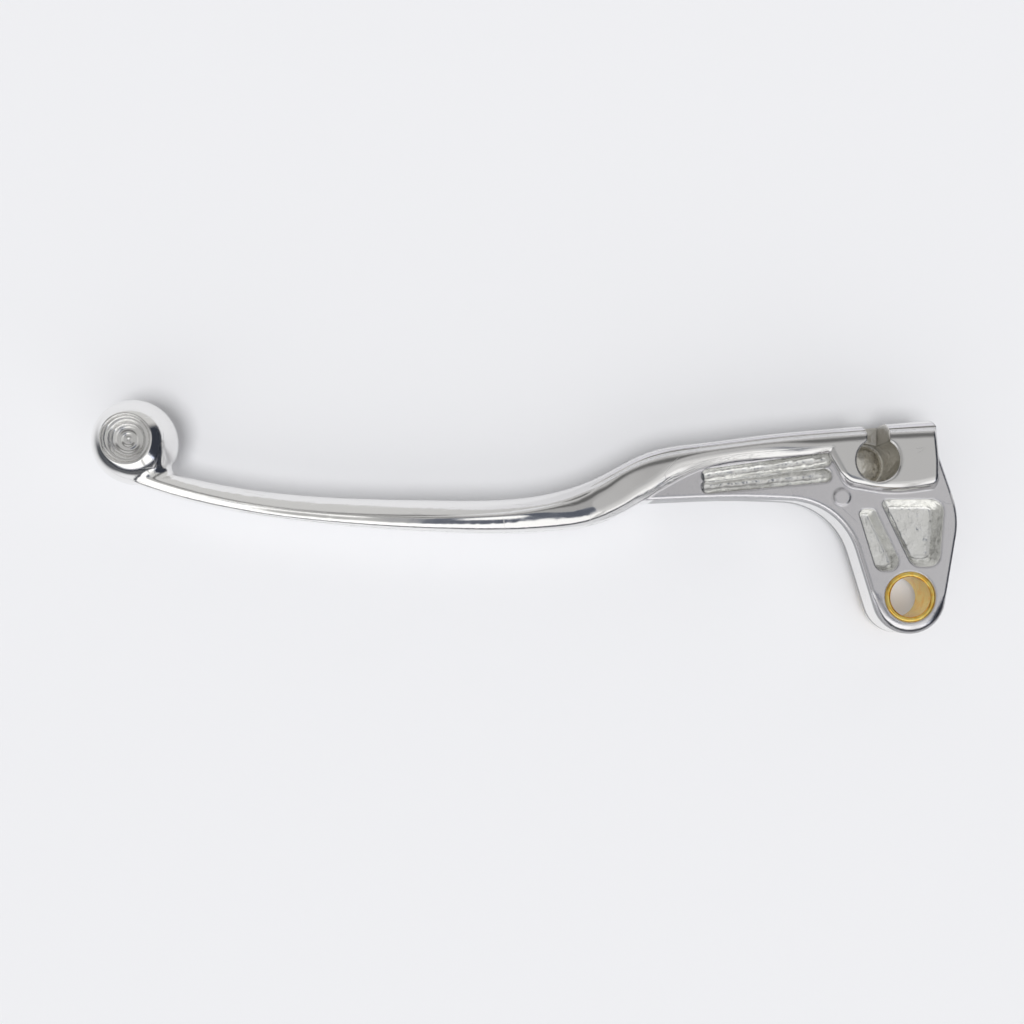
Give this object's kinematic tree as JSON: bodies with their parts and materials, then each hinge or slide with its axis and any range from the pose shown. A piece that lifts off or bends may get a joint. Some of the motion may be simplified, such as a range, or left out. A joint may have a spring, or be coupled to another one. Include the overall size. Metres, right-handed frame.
{
  "type": "motorcycle brake lever",
  "caption": "Dogleg handlebar lever in polished cast aluminium, with a ball end, a pivot plate with cast pockets and a brass bush, and a slotted seat for a cable's barrel nipple.",
  "frame": {"origin": "on the pivot axis, half way through the pivot plate", "axes": "+Z along the pivot axis, out of the face with the cast pockets; the ball end is towards -X and +Y is the front, the edge that the fingers pull"},
  "size_m": [0.1747, 0.0475, 0.0156],
  "materials": {
    "polished_aluminium": "cast, polished on the blade and rail, rough in the pockets",
    "bush_brass": "turned, slightly worn"
  },
  "bodies": {
    "root": {"lever_body": "polished_aluminium", "pivot_bush": "bush_brass"}
  },
  "joints": []
}
